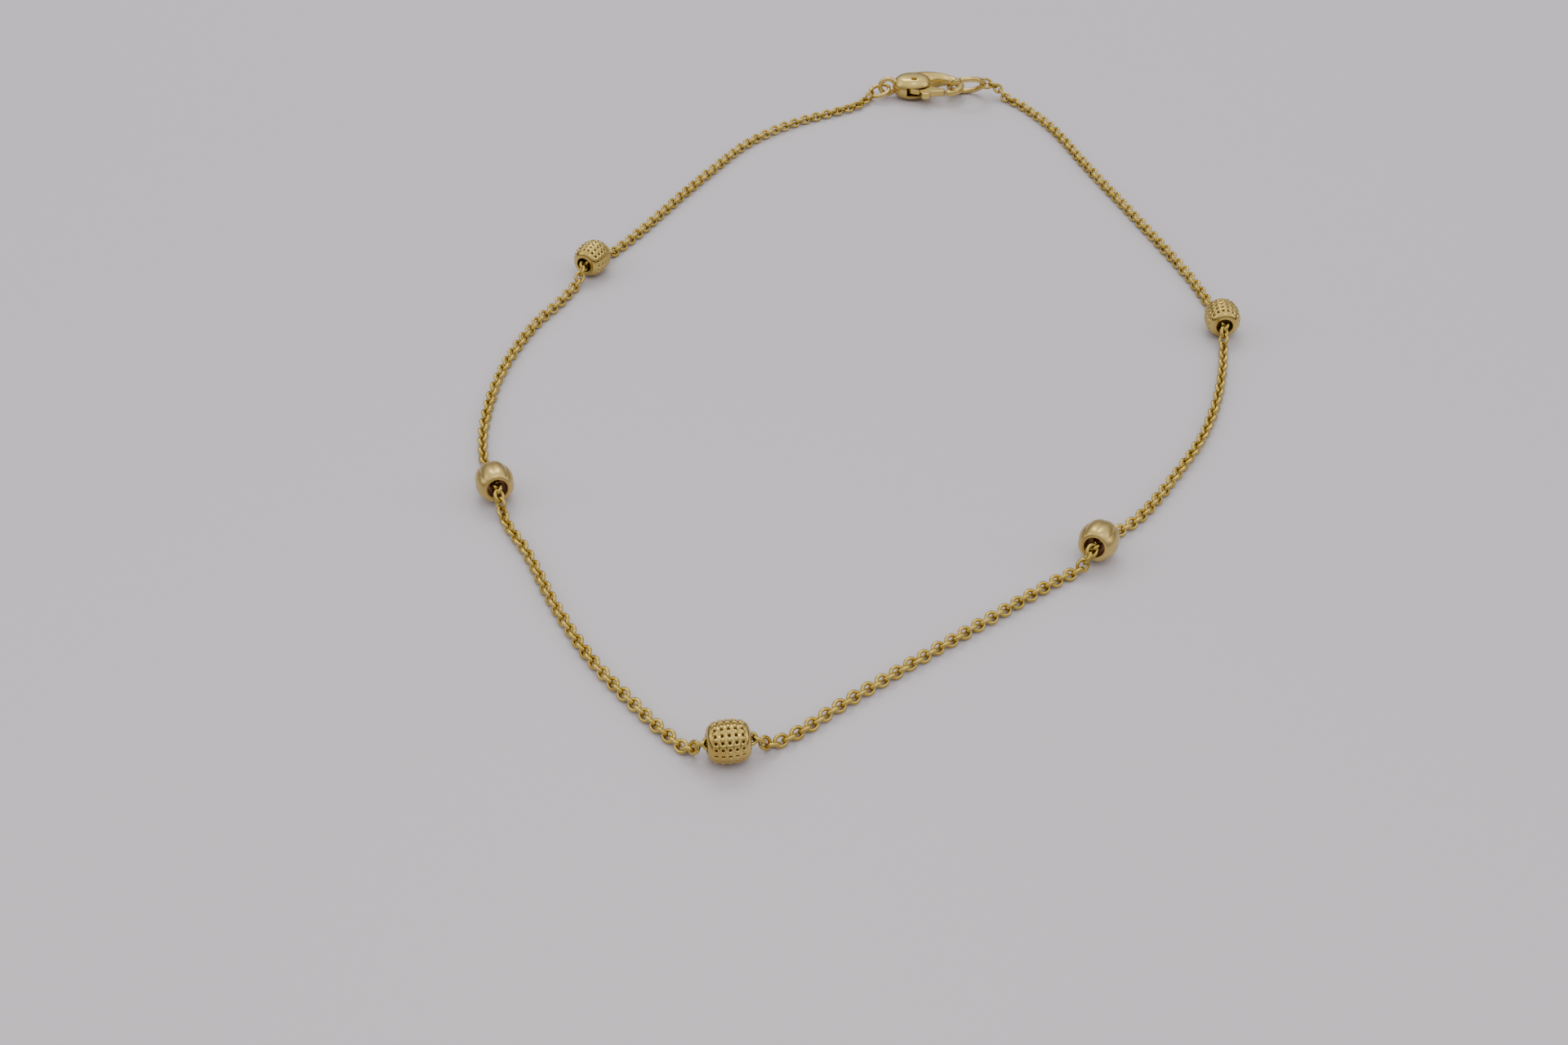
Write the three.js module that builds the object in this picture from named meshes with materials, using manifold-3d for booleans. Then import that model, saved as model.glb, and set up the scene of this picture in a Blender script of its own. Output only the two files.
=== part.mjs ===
// Chain anklet, lying closed on a flat surface as one loop. Millimetres, +Z up.
// The clasp is at the back, +Y, and the front bead at -Y. The origin is the middle of the loop's box,
// on the surface that the loop lies on.

import * as THREE from 'three';
import Module from 'manifold-3d';
import { mergeVertices } from 'three/addons/utils/BufferGeometryUtils.js';

const wasm = await Module();
wasm.setup();

// Driving dimensions

const gap = 0.15; // between hard pieces that lie against one another
const pinGap = 0.075; // round the clasp's pin
const leverGap = 0.13; // above and below the lever in its slot
const surface = 0; // height of the surface that everything lies on
const loopWidth = 66.6; // from the middle of the chain on one side of the loop to the other side's

const chain = {
  width: 1.06, // across one link, the tube that the links of the chain fill
  sides: 8,
  runSteps: 9, // steps of the tube in each stretch that lies on the surface
  dropSteps: 2, // steps of the tube from the surface up to a bead's hole
  drop: 2.6, // length that the chain needs to rise from the surface to a bead's hole
  endGap: 0.3, // between the chain's end and the ring it hangs on, and between its two halves
  endDrop: 3.4, // length over which it comes down from the end ring
  endSteps: 4,
};

const grained = {
  diameter: 3.25, // over the drum, without its grains
  length: 3.15,
  bore: 1.44,
  endFace: 1.8, // diameter of the flat end
  squareness: 2.15, // 2 is an ellipse, higher is a squarer shoulder
  rim: 0.3, // smooth band beside each end
  rimSteps: [0.25, 0.6], // where the band has its facets' edges, as shares of its breadth
  rows: 18, // grains round the drum
  columns: 5, // grains along the drum
  grain: 0.12, // height of a grain over the pits round it
};

const fluted = {
  diameter: 3.2,
  length: 2.8,
  bore: 1.6,
  endFace: 1.94,
  squareness: 2.05,
  lobes: 8,
  groove: 0.14, // depth of the groove between two lobes
  crispness: 0.7, // 1 is a lobe like half a wave, lower is a flatter lobe with a narrower groove
  lobeSides: 4, // facets across one lobe
  bands: 12, // facets from end to end
};

const clasp = {
  heading: 1, // degrees from X towards Y
  thickness: 2.6, // of the tail block, over its two flats
  tailLength: 4.5,
  tailWidth: 3.6,
  tailCentre: 2.75, // from the eyelet's centre to the tail block's
  eyeletRadius: 0.88, // to the middle of its wire
  eyeletWire: 0.54,
  swell: 1.2, // how far the tail block would bulge past its two flats, as a share of the thickness
  slotTop: 0.5, // how far the lever's slot reaches across the tail block, from its middle line
  slotLength: 3.6,
  pinDiameter: 0.5,
  pinLength: 2.2,
  blockSides: 18,
  blockBands: 12,
};

const jumpRing = {
  radius: 1.1,
  wire: 0.46,
  heading: 24, // degrees that it is turned from the clasp's line, towards the front
  pitch: 26, // how far it sinks towards the chain
};
const endRing = {
  radius: 1.95,
  wire: 0.6,
  heading: -1, // degrees from X, the way it lies from the claw's nose
  pitch: -6, // how far it falls away from the nose, below 0 it rises
  roll: -44, // below 0 its back leans down
  slack: 0.45, // between the nose and the ring's wire, past the gap
  across: -0.6, // where the claw catches it, across the clasp's middle line
};
const ringSides = 8;
const ringSteps = 24;
const pinSides = 12;

// The claw's middle line from the tail block round the nose to its tip: along, across, half of its
// width and half of its thickness, as shares of the claw's length, breadth and the clasp's thickness.
const claw = { length: 8.2, breadth: 3.6, sides: 10, tipBulge: 0.6 };
const clawTable = [
  { along: 0.22, across: 0.02, wide: 0.3, thick: 0.42 },
  { along: 0.33, across: 0.13, wide: 0.34, thick: 0.46 },
  { along: 0.46, across: 0.27, wide: 0.32, thick: 0.45 },
  { along: 0.6, across: 0.39, wide: 0.26, thick: 0.39 },
  { along: 0.76, across: 0.43, wide: 0.19, thick: 0.29 },
  { along: 0.91, across: 0.31, wide: 0.145, thick: 0.19 },
  { along: 1.0, across: 0.0, wide: 0.12, thick: 0.15 },
  { along: 0.965, across: -0.3, wide: 0.115, thick: 0.15 },
  { along: 0.9, across: -0.45, wide: 0.11, thick: 0.15 },
  { along: 0.82, across: -0.53, wide: 0.1, thick: 0.145 },
];

const lever = {
  thickness: 0.7,
  along: 2.85, // its pin, along and across the clasp from the eyelet's centre
  across: -0.75,
  rootRadius: 0.68,
  tipRadius: 0.34,
  tipAt: 0.7266, // the centre of its tip, along the clasp, as a share of the claw's length
  fall: 0.95, // how far the tip's centre lies outside the pin
  nubFoot: 0.52, // where the thumb nub's near side starts, past the pin and outside it
  nubFootDepth: 0.92,
  nubEase: 0.22, // how far before its flat top the near side turns up
  nubAt: 0.98, // from the pin to the nub's flat top
  nubFlat: 0.32,
  nubWidth: 0.82,
  nubReach: 2.0, // how far the nub stands outside the pin
  nubShoulder: 1.32,
  arcSteps: 8,
};

// The chain's route on the surface, seen from above, as shares of the loop's width: from the clasp's
// jump ring along the left side to the front bead, and back along the right side towards the end
// ring. A point with a bead is the middle of that bead.
const route = [
  { x: 0.0045, y: 0.7387 },
  { x: -0.0233, y: 0.7207 },
  { x: -0.1044, y: 0.6719 },
  { x: -0.1757, y: 0.6036 },
  { x: -0.2342, y: 0.5053 },
  { x: -0.2875, y: 0.4054 },
  { x: -0.3431, y: 0.2988 },
  { x: -0.3979, y: 0.2057, bead: 'bead_back_left' },
  { x: -0.4369, y: 0.1134 },
  { x: -0.4655, y: 0.0563 },
  { x: -0.4985, y: -0.0571 },
  { x: -0.5090, y: -0.1742 },
  { x: -0.5018, y: -0.2613 },
  { x: -0.4770, y: -0.3393, bead: 'bead_left' },
  { x: -0.4550, y: -0.4044 },
  { x: -0.4279, y: -0.4539 },
  { x: -0.3803, y: -0.5623 },
  { x: -0.3296, y: -0.6557 },
  { x: -0.2725, y: -0.7338 },
  { x: -0.2432, y: -0.7695 },
  { x: -0.2120, y: -0.7980 },
  { x: -0.1772, y: -0.7973, bead: 'bead_front' },
  { x: -0.1426, y: -0.7893 },
  { x: -0.1056, y: -0.7673 },
  { x: -0.0613, y: -0.7267 },
  { x: 0.0252, y: -0.6542 },
  { x: 0.1228, y: -0.5743 },
  { x: 0.1997, y: -0.5120 },
  { x: 0.2462, y: -0.4782 },
  { x: 0.2563, y: -0.4565, bead: 'bead_right' },
  { x: 0.2673, y: -0.4347 },
  { x: 0.3134, y: -0.3922 },
  { x: 0.3739, y: -0.3033 },
  { x: 0.4249, y: -0.2132 },
  { x: 0.4662, y: -0.0991 },
  { x: 0.4910, y: 0.0420, bead: 'bead_back_right' },
  { x: 0.4772, y: 0.1509 },
  { x: 0.4485, y: 0.2560 },
  { x: 0.4081, y: 0.3821 },
  { x: 0.3656, y: 0.5128 },
];
// The last stretch of it, from the point of the end ring that it hangs on.
const lastStretch = [
  { x: 0.1038, y: -0.1254 },
  { x: 0.0623, y: -0.0413 },
  { x: 0.0398, y: -0.0135 },
  { x: 0.0248, y: 0.0038 },
  { x: 0.0128, y: 0.0045 },
];
const eyeletAt = { x: 0.0571, y: 0.7853 };

const beadKinds = {
  bead_front: grained,
  bead_back_left: grained,
  bead_back_right: grained,
  bead_left: fluted,
  bead_right: fluted,
};

// Materials

const chainGold = new THREE.MeshStandardMaterial({ color: 0xb9924f, roughness: 0.3, metalness: 1 });
const grainGold = new THREE.MeshStandardMaterial({ color: 0xb88c48, roughness: 0.42, metalness: 1 });
const polishedGold = new THREE.MeshStandardMaterial({ color: 0xc9a763, roughness: 0.16, metalness: 1 });
const claspGold = new THREE.MeshStandardMaterial({ color: 0xc09a55, roughness: 0.24, metalness: 1 });

// Solids

function toSolid(geometry) {
  const plain = geometry.clone();
  plain.deleteAttribute('normal');
  plain.deleteAttribute('uv');
  const merged = mergeVertices(plain, 1e-5);
  const mesh = new wasm.Mesh({
    numProp: 3,
    vertProperties: Float32Array.from(merged.attributes.position.array),
    triVerts: Uint32Array.from(merged.index.array),
  });
  return new wasm.Manifold(mesh);
}

function toGeometry(solid) {
  const mesh = solid.getMesh();
  const geometry = new THREE.BufferGeometry();
  geometry.setAttribute('position', new THREE.BufferAttribute(Float32Array.from(mesh.vertProperties), 3));
  geometry.setIndex(new THREE.BufferAttribute(Uint32Array.from(mesh.triVerts), 1));
  geometry.computeVertexNormals();
  return geometry;
}

function addMesh(parent, name, geometry, material) {
  const mesh = new THREE.Mesh(geometry, material);
  mesh.name = name;
  parent.add(mesh);
  return mesh;
}

// Where the clasp and its two rings lie. The chain's ends hang on the rings' far sides.

const anklet = new THREE.Group();

const claspFrame = new THREE.Group();
claspFrame.position.set(eyeletAt.x * loopWidth, eyeletAt.y * loopWidth, surface + clasp.thickness / 2);
claspFrame.rotation.z = THREE.MathUtils.degToRad(clasp.heading);
anklet.add(claspFrame);

// The jump ring runs through the upright eyelet and sinks towards the chain.
const jumpHung = new THREE.Group();
jumpHung.rotation.set(
  0,
  THREE.MathUtils.degToRad(-jumpRing.pitch),
  THREE.MathUtils.degToRad(jumpRing.heading),
  'ZYX',
);
claspFrame.add(jumpHung);

// The end ring is caught by the claw and leans on its nose, with its back on the surface: its near side
// passes above the nose and its back below. Its lowest point lies the share `endDip` of its radius
// under its middle.
const nose = clawTable.reduce((far, row) => (row.along > far.along ? row : far));
const noseInside = nose.along * claw.length - nose.wide * claw.breadth;
const caught = new THREE.Group();
const endRoll = THREE.MathUtils.degToRad(endRing.roll);
const endPitch = THREE.MathUtils.degToRad(endRing.pitch);
const endDip = Math.hypot(Math.sin(endPitch), Math.cos(endPitch) * Math.sin(endRoll));
caught.position.set(
  noseInside - gap - endRing.wire / 2 - endRing.slack,
  endRing.across,
  endRing.radius * (endDip + Math.sin(endPitch)) + endRing.wire / 2 - clasp.thickness / 2,
);
caught.rotation.set(
  endRoll,
  endPitch,
  THREE.MathUtils.degToRad(endRing.heading - clasp.heading),
  'ZYX',
);
claspFrame.add(caught);

anklet.updateMatrixWorld(true);
const jumpFar = jumpHung.localToWorld(new THREE.Vector3(-2 * jumpRing.radius, 0, 0));
const endFar = caught.localToWorld(new THREE.Vector3(2 * endRing.radius, 0, 0));

// Chain: two halves, each one tube that lies on the surface and rises through the holes of its beads.
// The route is walked by length, so that the tube's steps can sit close together beside a bead.

const samples = 40; // of the route's length between two of its points

const stops = [
  { x: jumpFar.x, y: jumpFar.y },
  ...route.map((p) => ({ x: p.x * loopWidth, y: p.y * loopWidth, bead: p.bead })),
  ...lastStretch.map((p) => ({ x: endFar.x + p.x * loopWidth, y: endFar.y + p.y * loopWidth })),
  { x: endFar.x, y: endFar.y },
];
const plan = new THREE.CatmullRomCurve3(stops.map((p) => new THREE.Vector3(p.x, p.y, 0)));
plan.arcLengthDivisions = samples * (stops.length - 1);
const lengths = plan.getLengths();
const chainLength = lengths[lengths.length - 1];
const beads = stops
  .map((p, index) => ({ name: p.bead, kind: beadKinds[p.bead], at: lengths[samples * index] }))
  .filter((bead) => bead.name);
const frontBead = beads.find((bead) => bead.name === 'bead_front');

function chainHeight(length) {
  let lift = 0;
  for (const bead of beads) {
    const away = Math.max(0, Math.abs(length - bead.at) - bead.kind.length / 2);
    const share = 1 - Math.min(1, away / chain.drop);
    const rise = share * share * (3 - 2 * share);
    lift = Math.max(lift, (rise * (bead.kind.diameter - chain.width)) / 2);
  }
  const nearEnd = 1 - Math.min(1, (chainLength - length) / chain.endDrop);
  const hang = nearEnd * nearEnd * (3 - 2 * nearEnd);
  lift = Math.max(lift, hang * (endFar.z - surface - chain.width / 2));
  return surface + chain.width / 2 + lift;
}

// Lengths along the route at which a half of the chain has its steps: even along the surface, and
// closer beside each bead, where the chain rises.
function chainStations(from, to) {
  const stations = [from];
  const walk = (end, steps) => {
    const start = stations[stations.length - 1];
    for (let step = 1; step <= steps; step += 1) stations.push(start + ((end - start) * step) / steps);
  };
  for (const bead of beads) {
    const low = bead.at - bead.kind.length / 2;
    const high = bead.at + bead.kind.length / 2;
    if (high < from || low > to) continue;
    if (low > from) {
      walk(low - chain.drop, chain.runSteps);
      walk(low, chain.dropSteps);
    }
    if (high < to) {
      walk(high, 1);
      walk(high + chain.drop, chain.dropSteps);
    } else {
      walk(to, 1);
    }
  }
  if (stations[stations.length - 1] < to) {
    walk(chainLength - chain.endDrop, chain.runSteps);
    walk(to, chain.endSteps);
  }
  return stations;
}

class ChainLine extends THREE.Curve {
  constructor(stations) {
    super();
    this.stations = stations;
  }

  getPoint(share) {
    const place = share * (this.stations.length - 1);
    const index = Math.min(this.stations.length - 2, Math.floor(place));
    const start = this.stations[index];
    const length = start + (this.stations[index + 1] - start) * (place - index);
    const point = plan.getPointAt(Math.min(1, Math.max(0, length / chainLength)));
    point.z = chainHeight(length);
    return point;
  }

  getPointAt(share) {
    return this.getPoint(share);
  }

  getTangentAt(share) {
    return this.getTangent(share);
  }
}

function chainHalf(from, to) {
  const stations = chainStations(from, to);
  const section = new THREE.Shape();
  for (let side = 0; side < chain.sides; side += 1) {
    const angle = ((side + 0.5) * 2 * Math.PI) / chain.sides;
    const x = (chain.width / 2) * Math.cos(angle);
    const y = (chain.width / 2) * Math.sin(angle);
    if (side === 0) section.moveTo(x, y);
    else section.lineTo(x, y);
  }
  section.closePath();
  return new THREE.ExtrudeGeometry(section, {
    steps: stations.length - 1,
    extrudePath: new ChainLine(stations),
  });
}

// Beads: turned round Y from a closed profile, then raised or cut in from the turned surface.

function drumRadius(kind, share) {
  const full = (1 - Math.abs(share) ** kind.squareness) ** (1 / kind.squareness);
  return kind.endFace / 2 + ((kind.diameter - kind.endFace) / 2) * full;
}

function turnedBead(kind, shares, sides, relief) {
  const half = kind.length / 2;
  const profile = [new THREE.Vector2(kind.bore / 2, -half)];
  for (const share of shares) profile.push(new THREE.Vector2(drumRadius(kind, share), share * half));
  profile.push(new THREE.Vector2(kind.bore / 2, half));
  profile.push(profile[0].clone());
  const geometry = new THREE.LatheGeometry(profile, sides);
  const position = geometry.attributes.position;
  for (let index = 0; index < position.count; index += 1) {
    const x = position.getX(index);
    const y = position.getY(index);
    const z = position.getZ(index);
    const radius = Math.hypot(x, z);
    if (radius < kind.bore / 2 + 1e-4) continue;
    const scale = (radius + relief(Math.atan2(x, z), y / half)) / radius;
    position.setXYZ(index, x * scale, y, z * scale);
  }
  return geometry;
}

function grainedBead() {
  const inner = 1 - (2 * grained.rim) / grained.length;
  const facets = 2 * grained.columns;
  const band = [0, ...grained.rimSteps].map((step) => 1 - step * (1 - inner));
  const shares = band.map((share) => -share);
  for (let facet = 0; facet <= facets; facet += 1) shares.push(inner * ((2 * facet) / facets - 1));
  shares.push(...band.reverse());
  const relief = (angle, share) => {
    if (Math.abs(share) > inner + 1e-6) return 0;
    const along = (share / inner + 1) / 2;
    const column = Math.abs(Math.sin(along * grained.columns * Math.PI));
    const row = Math.abs(Math.cos((angle * grained.rows) / 2));
    return grained.grain * (column * row - 1);
  };
  return turnedBead(grained, shares, 2 * grained.rows, relief);
}

function flutedBead() {
  const shares = [];
  for (let band = 0; band <= fluted.bands; band += 1) {
    shares.push(-Math.cos((band * Math.PI) / fluted.bands));
  }
  const relief = (angle, share) => {
    const across = Math.abs(Math.sin((angle * fluted.lobes) / 2));
    return fluted.groove * (1 - share * share) * (across ** fluted.crispness - 1);
  };
  return turnedBead(fluted, shares, fluted.lobes * fluted.lobeSides, relief);
}

// Clasp: a claw cast in one with its tail block and eyelet, a sprung lever on a pin, and two rings.

function loftedClaw() {
  const line = new THREE.CatmullRomCurve3(
    clawTable.map((row) => new THREE.Vector3(row.along * claw.length, row.across * claw.breadth, 0)),
  );
  const steps = 2 * (clawTable.length - 1);
  const points = [];
  for (let step = 0; step <= steps; step += 1) {
    const place = step / 2;
    const low = clawTable[Math.floor(place)];
    const high = clawTable[Math.ceil(place)];
    const centre = line.getPoint(step / steps);
    const tangent = line.getTangent(step / steps);
    const wide = ((low.wide + high.wide) / 2) * claw.breadth;
    const thick = ((low.thick + high.thick) / 2) * clasp.thickness;
    for (let side = 0; side < claw.sides; side += 1) {
      const angle = (side * 2 * Math.PI) / claw.sides;
      points.push(
        centre.x - tangent.y * wide * Math.cos(angle),
        centre.y + tangent.x * wide * Math.cos(angle),
        thick * Math.sin(angle),
      );
    }
  }
  const ends = [line.getPoint(0), line.getPoint(1)];
  const tipWide = clawTable[clawTable.length - 1].wide * claw.breadth;
  ends[1].add(line.getTangent(1).multiplyScalar(tipWide * claw.tipBulge));
  for (const end of ends) points.push(end.x, end.y, end.z);
  const faces = [];
  const ring = (step, side) => step * claw.sides + (side % claw.sides);
  for (let side = 0; side < claw.sides; side += 1) {
    for (let step = 0; step < steps; step += 1) {
      faces.push(ring(step, side), ring(step + 1, side + 1), ring(step + 1, side));
      faces.push(ring(step, side), ring(step, side + 1), ring(step + 1, side + 1));
    }
    faces.push(points.length / 3 - 2, ring(0, side + 1), ring(0, side));
    faces.push(points.length / 3 - 1, ring(steps, side), ring(steps, side + 1));
  }
  const geometry = new THREE.BufferGeometry();
  geometry.setAttribute('position', new THREE.BufferAttribute(new Float32Array(points), 3));
  geometry.setIndex(faces);
  return geometry;
}

function pinHole(depth) {
  const radius = clasp.pinDiameter / 2 + pinGap;
  const hole = new THREE.CylinderGeometry(radius, radius, depth, pinSides);
  hole.rotateX(Math.PI / 2);
  return hole;
}

function claspBody() {
  const block = new THREE.SphereGeometry(1, clasp.blockSides, clasp.blockBands);
  block.scale(clasp.tailLength / 2, clasp.tailWidth / 2, (clasp.swell * clasp.thickness) / 2);
  block.translate(clasp.tailCentre, 0, 0);
  const flats = new THREE.BoxGeometry(2 * clasp.tailLength, 2 * clasp.tailWidth, clasp.thickness);
  flats.translate(clasp.tailCentre, 0, 0);
  const eyelet = new THREE.TorusGeometry(clasp.eyeletRadius, clasp.eyeletWire / 2, ringSides, ringSteps);
  eyelet.rotateX(Math.PI / 2);
  const slotBack = lever.along - lever.rootRadius - gap;
  const slotDepth = clasp.slotTop + clasp.tailWidth;
  const slot = new THREE.BoxGeometry(clasp.slotLength, slotDepth, lever.thickness + 2 * leverGap);
  slot.translate(slotBack + clasp.slotLength / 2, clasp.slotTop - slotDepth / 2, 0);
  const hole = pinHole(2 * clasp.thickness);
  hole.translate(lever.along, lever.across, 0);
  return toGeometry(
    toSolid(block)
      .intersect(toSolid(flats))
      .add(toSolid(loftedClaw()))
      .add(toSolid(eyelet))
      .subtract(toSolid(slot))
      .subtract(toSolid(hole)),
  );
}

function claspLever() {
  const reach = lever.tipAt * claw.length - lever.along;
  const slope = Math.atan2(lever.fall, reach);
  const nubEnd = lever.nubAt + lever.nubWidth;
  const outline = new THREE.Shape();
  outline.absarc(0, 0, lever.rootRadius, Math.PI / 2 - slope, Math.PI * 1.5 - slope, false);
  outline.lineTo(lever.nubFoot, -lever.nubFootDepth);
  outline.quadraticCurveTo(lever.nubAt - lever.nubEase, -lever.nubReach, lever.nubAt, -lever.nubReach);
  outline.lineTo(lever.nubAt + lever.nubFlat, -lever.nubReach);
  outline.quadraticCurveTo(nubEnd, -lever.nubReach, nubEnd, -lever.nubShoulder);
  outline.absarc(reach, -lever.fall, lever.tipRadius, -Math.PI / 2 - slope, Math.PI / 2 - slope, false);
  outline.closePath();
  const plate = new THREE.ExtrudeGeometry(outline, {
    depth: lever.thickness,
    bevelEnabled: false,
    curveSegments: lever.arcSteps,
  });
  plate.translate(0, 0, -lever.thickness / 2);
  return toGeometry(toSolid(plate).subtract(toSolid(pinHole(2 * lever.thickness))));
}

function ringGeometry(ring) {
  return new THREE.TorusGeometry(ring.radius, ring.wire / 2, ringSides, ringSteps);
}

// The whole anklet. The chain's route runs from the middle of one ring's wire to the middle of the
// other's.

const half = chain.endGap / 2;
const leftStart = jumpRing.wire / 2 + chain.endGap;
const rightEnd = chainLength - endRing.wire / 2 - chain.endGap;
addMesh(anklet, 'chain_left', chainHalf(leftStart, frontBead.at - half), chainGold);
addMesh(anklet, 'chain_right', chainHalf(frontBead.at + half, rightEnd), chainGold);

for (const bead of beads) {
  const isGrained = bead.kind === grained;
  const geometry = isGrained ? grainedBead() : flutedBead();
  const mesh = addMesh(anklet, bead.name, geometry, isGrained ? grainGold : polishedGold);
  const ahead = plan.getTangentAt(bead.at / chainLength);
  mesh.quaternion.setFromUnitVectors(new THREE.Vector3(0, 1, 0), ahead);
  const place = plan.getPointAt(bead.at / chainLength);
  mesh.position.set(place.x, place.y, surface + bead.kind.diameter / 2);
}

addMesh(claspFrame, 'clasp_body', claspBody(), claspGold);
const leverMesh = addMesh(claspFrame, 'clasp_lever', claspLever(), claspGold);
leverMesh.position.set(lever.along, lever.across, 0);

const pinRadius = clasp.pinDiameter / 2;
const pinGeometry = new THREE.CylinderGeometry(pinRadius, pinRadius, clasp.pinLength, pinSides);
const pin = addMesh(claspFrame, 'clasp_pin', pinGeometry, claspGold);
pin.rotation.x = Math.PI / 2;
pin.position.set(lever.along, lever.across, 0);

addMesh(jumpHung, 'jump_ring', ringGeometry(jumpRing), claspGold).position.x = -jumpRing.radius;
addMesh(caught, 'end_ring', ringGeometry(endRing), claspGold).position.x = endRing.radius;

export default anklet;
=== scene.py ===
import math

import bpy
import numpy as np
from mathutils import Matrix


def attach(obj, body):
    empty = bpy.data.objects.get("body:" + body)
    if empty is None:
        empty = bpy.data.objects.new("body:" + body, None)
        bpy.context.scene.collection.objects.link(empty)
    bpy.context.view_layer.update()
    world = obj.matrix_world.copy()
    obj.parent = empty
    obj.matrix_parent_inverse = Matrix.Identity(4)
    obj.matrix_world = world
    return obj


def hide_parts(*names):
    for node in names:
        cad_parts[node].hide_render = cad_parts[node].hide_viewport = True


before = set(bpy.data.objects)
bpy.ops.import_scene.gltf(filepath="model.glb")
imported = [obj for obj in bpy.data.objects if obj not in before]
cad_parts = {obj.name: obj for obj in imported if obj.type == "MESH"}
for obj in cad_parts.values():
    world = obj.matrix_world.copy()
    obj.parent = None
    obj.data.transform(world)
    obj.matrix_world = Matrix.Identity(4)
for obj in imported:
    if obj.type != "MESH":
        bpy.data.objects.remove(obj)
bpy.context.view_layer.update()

# Camera
# It stands beyond the front bead and looks down at the loop, as the photograph does. It dips by the
# angle at which the four runs of chain between the beads come out equally long.

SENSOR_WIDTH, LENS = 36.0, 45.0
CAMERA_PLACE, CAMERA_DIP = (-0.0079, -0.1521, 0.0983), 37.94
NEAREST_SEEN = 0.01

camera_data = bpy.data.cameras.new("camera")
camera_data.sensor_width = SENSOR_WIDTH
camera_data.lens = LENS
camera_data.clip_start = NEAREST_SEEN
camera = bpy.data.objects.new("camera", camera_data)
camera.location = CAMERA_PLACE
camera.rotation_euler = (math.radians(90 - CAMERA_DIP), 0, 0)
bpy.context.scene.collection.objects.link(camera)
bpy.context.scene.camera = camera

# Floor and light
# A sheet of pale card that fills the view, faintly mottled, and painted a little lighter and
# warmer toward the camera as painted light. It lies under a wide pale sky that is brightest
# overhead, with a soft light behind the loop, a weaker one on each side and a small lamp above the
# camera and to its right.

FLOOR_HALF = 2.0
FLOOR_COLOUR = (0.62, 0.59, 0.622)
FLOOR_SHADE = (0.605, 0.575, 0.607)
# Painted light: the card's colour toward the camera, lighter and warmer.
FLOOR_PAINTED_LIGHT = (0.66, 0.61, 0.645)
NEAR_FROM, NEAR_TO = 0.02, -0.12
HORIZON, ZENITH = (0.20, 0.185, 0.175), (1.15, 1.135, 1.16)
BRIGHTENS_FROM, BRIGHTENS_TO = 0.1, 0.75
LIGHTS = (  # name, place, width and height, radiance, colour
    ("behind", (-0.06, 0.42, 0.60), (0.36, 0.22), 3.9, (1.0, 0.99, 0.97)),
    ("left", (-0.7, -0.05, 0.38), (0.4, 0.4), 0.9, (1.0, 0.99, 0.96)),
    ("right", (0.7, -0.05, 0.38), (0.4, 0.4), 0.9, (1.0, 0.99, 0.96)),
    ("lamp", (0.10, -0.22, 0.62), (0.08, 0.08), 12.0, (1.0, 0.98, 0.94)),
)


def join(tree, source, target):
    """Links two sockets, each given as (node, name or number)."""
    tree.links.new(source[0].outputs[source[1]], target[0].inputs[target[1]])


def new_material(name):
    """A material with its Principled shader, and the tree that they are in."""
    material = bpy.data.materials.new(name)
    material.use_nodes = True
    tree = material.node_tree
    return material, tree, tree.nodes["Principled BSDF"]


card, tree, shader = new_material("pale_card")
shader.inputs["Roughness"].default_value = 0.5
shader.inputs["Specular IOR Level"].default_value = 0.4
place = tree.nodes.new("ShaderNodeTexCoord")
mottle = tree.nodes.new("ShaderNodeTexNoise")
mottle.inputs["Scale"].default_value = 9.0
mottle.inputs["Detail"].default_value = 3.0
tint = tree.nodes.new("ShaderNodeMix")
tint.data_type = "RGBA"
tint.inputs["A"].default_value = (*FLOOR_COLOUR, 1)
tint.inputs["B"].default_value = (*FLOOR_SHADE, 1)
across = tree.nodes.new("ShaderNodeSeparateXYZ")
nearness = tree.nodes.new("ShaderNodeMapRange")
nearness.interpolation_type = "SMOOTHSTEP"
nearness.inputs["From Min"].default_value = NEAR_FROM
nearness.inputs["From Max"].default_value = NEAR_TO
# Painted light: mixed in toward the camera.
warmer = tree.nodes.new("ShaderNodeMix")
warmer.data_type = "RGBA"
warmer.inputs["B"].default_value = (*FLOOR_PAINTED_LIGHT, 1)
join(tree, (place, "Object"), (mottle, "Vector"))
join(tree, (place, "Object"), (across, "Vector"))
join(tree, (across, "Y"), (nearness, "Value"))
join(tree, (mottle, "Fac"), (tint, "Factor"))
join(tree, (nearness, "Result"), (warmer, "Factor"))
join(tree, (tint, "Result"), (warmer, "A"))
join(tree, (warmer, "Result"), (shader, "Base Color"))

floor_mesh = bpy.data.meshes.new("floor")
floor_mesh.from_pydata(
    [(x * FLOOR_HALF, y * FLOOR_HALF, 0) for x, y in ((-1, -1), (1, -1), (1, 1), (-1, 1))],
    [],
    [(0, 1, 2, 3)],
)
floor_mesh.materials.append(card)
floor = bpy.data.objects.new("floor", floor_mesh)
bpy.context.scene.collection.objects.link(floor)

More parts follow.
